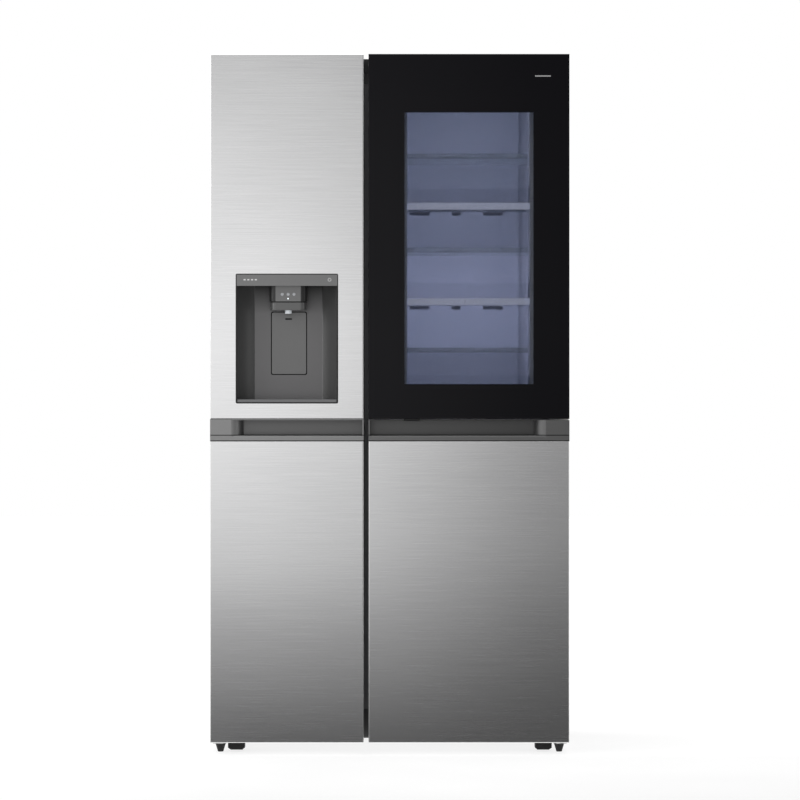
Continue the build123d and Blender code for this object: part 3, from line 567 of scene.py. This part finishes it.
def housing_finish():
    """Grey lacquer, black in the joint around the mouth, and painted shade: darker side walls and head, black
    behind the paddle.
    """
    lacquer = Finish("scoop_lacquer")
    cloud = lacquer.noise((6.0, 6.0, 4.0))
    fine = lacquer.noise((1500.0, 1500.0, 1500.0), 2.0)
    land = lacquer.along("Y") < (scoop_low.y + 0.0006)
    # Painted shade: the surface behind the paddle is black.
    behind_paddle_shade = lacquer.along("Y") > (paddle_low.y + 0.001)
    panel = lacquer.mix(cloud, (0.136, 0.134, 0.136, 1.0), (0.156, 0.154, 0.157, 1.0))
    # Painted shade: darker towards the head, under the band.
    head_shade = (lacquer.along("Z") - (band_low.z - SHADED_HEAD)) / SHADED_HEAD
    panel = lacquer.mix(head_shade * (head_shade > 0.0), panel, grey(0.02))
    # Painted shade: the side walls of the scoop are darker.
    side_shade = abs(lacquer.along("X") - paddle_middle) > (PANEL_HALF + 0.0005)
    body = lacquer.mix(side_shade, panel, grey(0.085))
    return lacquer.principled({
        "Base Color": lacquer.mix(land + behind_paddle_shade, body, grey(0.008)),
        "Metallic": 0.45,
        "Roughness": 0.4 + cloud * 0.05,
        "Normal": lacquer.bump(fine, 0.06, 0.0002),
    })


def band_finish():
    """Smoked band with a row of small plain marks at its left and a ring at its right."""
    band = Finish("touch_band")
    cloud = band.noise((4.0, 4.0, 4.0))
    middle_z = (band_low.z + band_high.z) / 2
    in_row = band.between("Z", (middle_z - 0.0016, middle_z + 0.0016))
    in_left = band.between("X", (band_low.x + 0.018, band_low.x + 0.056))
    pitch = band.node("ShaderNodeMath", {"operation": "FRACT"}, {0: band.along("X") * 105.0})
    marks = in_row * in_left * (pitch < 0.55)
    across = band.along("X") - (band_high.x - 0.022)
    upward = band.along("Z") - middle_z
    radius = band.node("ShaderNodeMath", {"operation": "SQRT"}, {0: across * across + upward * upward})
    ring = (radius > 0.0032) * (radius < 0.0044)
    colour = band.mix(cloud, grey(0.15), grey(0.175))
    inside = band.between("X", (band_low.x + JOINT, band_high.x - JOINT))
    inside = inside * (band.along("Z") < (band_high.z - JOINT))
    colour = band.mix(inside, grey(0.008), colour)
    return band.principled({
        "Base Color": band.mix(marks + ring, colour, grey(0.6)),
        "Metallic": 0.6,
        "Roughness": 0.26 + cloud * 0.04,
    })


paint("dispenser_housing", housing_finish())
paint("dispenser_fascia", band_finish())
TURRET_FLAT = 0.032
STOREY_JOINT = turret_high.z - 0.039
SPOUT_TOP = turret_low.z + 0.0085


def turret_finish():
    """Grey lacquer, lighter on the upper storey's flat and painted dark as shade on its flanks; the spout is
    clear.
    """
    lacquer = Finish("turret_lacquer")
    cloud = lacquer.noise((8.0, 8.0, 8.0))
    flat = lacquer.between("X", (turret_middle - TURRET_FLAT, turret_middle + TURRET_FLAT))
    upper = lacquer.along("Z") > STOREY_JOINT
    tone = lacquer.mix(cloud, grey(0.1), grey(0.12))
    # Painted shade: the upper storey's flanks, turned away from the light, are near black; its flat front is
    # lighter.
    tone = lacquer.mix(upper, tone, lacquer.mix(flat, grey(0.03), grey(0.15)))
    joint = lacquer.between("Z", (STOREY_JOINT - 0.003, STOREY_JOINT))
    tone = lacquer.mix(joint, tone, grey(0.008))
    spout = lacquer.along("Z") < SPOUT_TOP
    return lacquer.principled({
        "Base Color": lacquer.mix(spout, tone, (0.8, 0.84, 0.88, 1.0)),
        "Metallic": 0.5 - spout * 0.5,
        "Roughness": 0.32 - spout * 0.2,
    })


paint("dispenser_nozzle", turret_finish())
# Painted shade: the paddle's sides go near black where they run back into its slot.
slot_depth = (paddle_low.y + 0.0005, paddle_low.y + 0.0025)
paint("dispenser_paddle", lacquered("paddle_lacquer", 0.17, 0.42, slot_depth, 0.05))
paint("dispenser_tray", moulded("tray_plastic", (0.14, 0.14, 0.145), 0.4))


def select_where(mesh, test):
    """Select the faces of the mesh in edit mode that pass a test."""
    bpy.ops.mesh.select_all(action="DESELECT")
    edited = bmesh.from_edit_mesh(mesh)
    for face in edited.faces:
        face.select = test(face)
    edited.select_flush(True)
    bmesh.update_edit_mesh(mesh)


def finish_piece(piece, name, body, material, angle=35):
    """Settle a piece: its place goes into its mesh, it gets its finish and rides on its body."""
    bpy.ops.object.mode_set(mode="OBJECT")
    piece.name = name
    piece.data.name = name
    bpy.ops.object.transform_apply(location=True, rotation=True, scale=True)
    bpy.ops.object.shade_smooth_by_angle(angle=math.radians(angle))
    piece.data.materials.append(material)
    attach(piece, body)
    bpy.ops.object.select_all(action="DESELECT")
    return piece


def start_block(low_corner, high_corner):
    """A block between two corners, open in edit mode with every face selected."""
    middle = (Vector(low_corner) + Vector(high_corner)) / 2
    size = Vector(high_corner) - Vector(low_corner)
    bpy.ops.object.select_all(action="DESELECT")
    bpy.ops.mesh.primitive_cube_add(size=1.0, location=middle)
    piece = bpy.context.object
    piece.scale = size
    bpy.ops.object.transform_apply(location=True, rotation=True, scale=True)
    bpy.ops.object.mode_set(mode="EDIT")
    bpy.ops.mesh.select_all(action="SELECT")
    return piece


def light_finish(name, colour, strength):
    """Plastic in nearly one colour, with a glow of the given strength."""
    lit = Finish(name)
    spread = lit.noise((400.0, 400.0, 400.0))
    tone = lit.mix(spread, tuple(part * 0.85 for part in colour) + (1.0,), colour + (1.0,))
    return lit.principled({
        "Base Color": tone, "Roughness": 0.3, "Emission Color": tone, "Emission Strength": strength,
    })


mark_print = light_finish("turret_marks", (0.42, 0.43, 0.45), 0.0)
mark_lit = light_finish("turret_lamp", (0.9, 0.97, 1.0), 0.8)
MARK_HEIGHT = turret_high.z - 0.021
MARK_PITCH = 0.015
MARK_THICKNESS = 0.0012


def turret_button(name, aside, rise, size, material):
    """A small button with a raised middle, set in the turret's flat front."""
    centre = Vector((turret_middle + aside, turret_low.y, MARK_HEIGHT + rise))
    bpy.ops.object.select_all(action="DESELECT")
    bpy.ops.mesh.primitive_cylinder_add(vertices=24, radius=size, depth=MARK_THICKNESS, location=centre,
                                        rotation=(math.radians(90), 0, 0))
    piece = bpy.context.object
    bpy.ops.object.mode_set(mode="EDIT")
    select_where(piece.data, lambda face: len(face.verts) > 4)
    bpy.ops.mesh.inset(thickness=size * 0.25, depth=size * 0.08)
    return finish_piece(piece, name, "freezer_door", material)


for number, aside in enumerate((-MARK_PITCH, 0, MARK_PITCH)):
    turret_button(f"turret_button_{number + 1}", aside, 0.0, 0.0036, mark_print)
turret_button("turret_lamp", 0, -0.011, 0.0017, mark_lit)

# ---------------------------------------------------------------- door baskets
# Three clear baskets sit in the tunnel behind the glass door. Each is moulded with a flat floor,
# two sides and a guard behind, and a thick pale rail is clipped on in front. The rails glow as painted light.

basket_low, basket_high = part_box("basket_bins")
RAIL_DEPTH = 0.006
RAIL_HEIGHT = 0.018
TUB_HEIGHT = 0.06
# Painted light: the pale rails glow a little, as if lit by the lamps inside.
rail_painted_glow = light_finish("rail_painted_glow", (0.62, 0.66, 0.84), 0.65)
basket_clear = clear_sheet("basket_clear", (0.8, 0.86, 0.95), 0.012, 0.06)


def basket_rail(name, base):
    """Pale rail with rounded edges and a shallow groove along its face."""
    rail = start_block((basket_low.x, basket_low.y, base),
                       (basket_high.x, basket_low.y + RAIL_DEPTH, base + RAIL_HEIGHT - 0.001))
    select_where(rail.data, lambda face: face.normal.y < -0.9)
    bpy.ops.mesh.inset(thickness=0.004, depth=0)
    bpy.ops.mesh.inset(thickness=0.001, depth=-0.0012)
    bpy.ops.object.mode_set(mode="OBJECT")
    rounding = rail.modifiers.new("rounding", "BEVEL")
    rounding.width = 0.001
    rounding.segments = 3
    bpy.ops.object.modifier_apply(modifier="rounding")
    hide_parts("basket_bins")
    return finish_piece(rail, name, "fridge_door", rail_painted_glow)


def basket_body(name, base):
    """Clear floor, sides and rear guard with two rounded corners. The front is open."""
    tub = start_block((basket_low.x, basket_low.y + RAIL_DEPTH, base),
                      (basket_high.x, basket_high.y, base + TUB_HEIGHT))
    bpy.ops.mesh.select_all(action="DESELECT")
    edited = bmesh.from_edit_mesh(tub.data)
    for edge in edited.edges:
        ends = edge.verts
        upright = abs(ends[0].co.z - ends[1].co.z) > TUB_HEIGHT / 2
        edge.select = upright and ends[0].co.y > basket_high.y - 0.001
    bmesh.update_edit_mesh(tub.data)
    bpy.ops.mesh.bevel(offset=0.012, segments=5)
    select_where(tub.data, lambda face: face.normal.z > 0.9 or face.normal.y < -0.9)
    bpy.ops.mesh.delete(type="FACE")
    bpy.ops.object.mode_set(mode="OBJECT")
    wall = tub.modifiers.new("wall", "SOLIDIFY")
    wall.thickness = 0.0025
    bpy.ops.object.modifier_apply(modifier="wall")
    rounding = tub.modifiers.new("rounding", "BEVEL")
    rounding.width = 0.0006
    rounding.segments = 2
    bpy.ops.object.modifier_apply(modifier="rounding")
    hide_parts("basket_bins")
    return finish_piece(tub, name, "fridge_door", basket_clear)


BASKET_RISES = (0.0, 0.239, 0.483)
for number, rise in enumerate(BASKET_RISES):
    base = basket_low.z + rise
    basket_rail(f"basket_rail_{number + 1}", base)
    basket_body(f"basket_tub_{number + 1}", base)

# ---------------------------------------------------------------- outer glass door
# One sheet of toughened glass covers the whole door. A black ceramic border is fired on behind
# it and leaves a smoked window, and a second pane behind keeps the cold in.

window_low, window_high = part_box("view_inner_glass")
BORDER = 0.0075
BADGE_HALF_WIDTH = 0.02
BADGE_HALF_HEIGHT = 0.0016


def bordered_glass():
    """Black glass that is clear and smoked inside its fired border."""
    glass = Finish("bordered_glass")
    window = glass.between("X", (window_low.x + BORDER, window_high.x - 0.007))
    window = window * glass.between("Z", (window_low.z + BORDER, window_high.z - 0.0085))
    waves = glass.noise((2.0, 2.0, 2.0), 1.0)
    badge_x = high.x - 0.0675
    badge_z = high.z - 0.056
    badge = glass.between("X", (badge_x - BADGE_HALF_WIDTH, badge_x + BADGE_HALF_WIDTH))
    badge = badge * glass.between("Z", (badge_z - BADGE_HALF_HEIGHT, badge_z + BADGE_HALF_HEIGHT))
    black = glass.mix(waves, (0.0035, 0.0033, 0.0045, 1.0), (0.0045, 0.0043, 0.0055, 1.0))
    tone = glass.mix(window, black, (0.01, 0.016, 0.035, 1.0))
    return glass.principled({
        "Base Color": glass.mix(badge, tone, grey(0.35)),
        "Roughness": 0.03 + waves * 0.02,
        "Alpha": 1.0 - window * 0.62,
        "Specular IOR Level": 0.12,
    })


paint("view_glass", bordered_glass())
paint("view_inner_glass", clear_sheet("inner_pane", (0.7, 0.78, 0.95), 0.03))
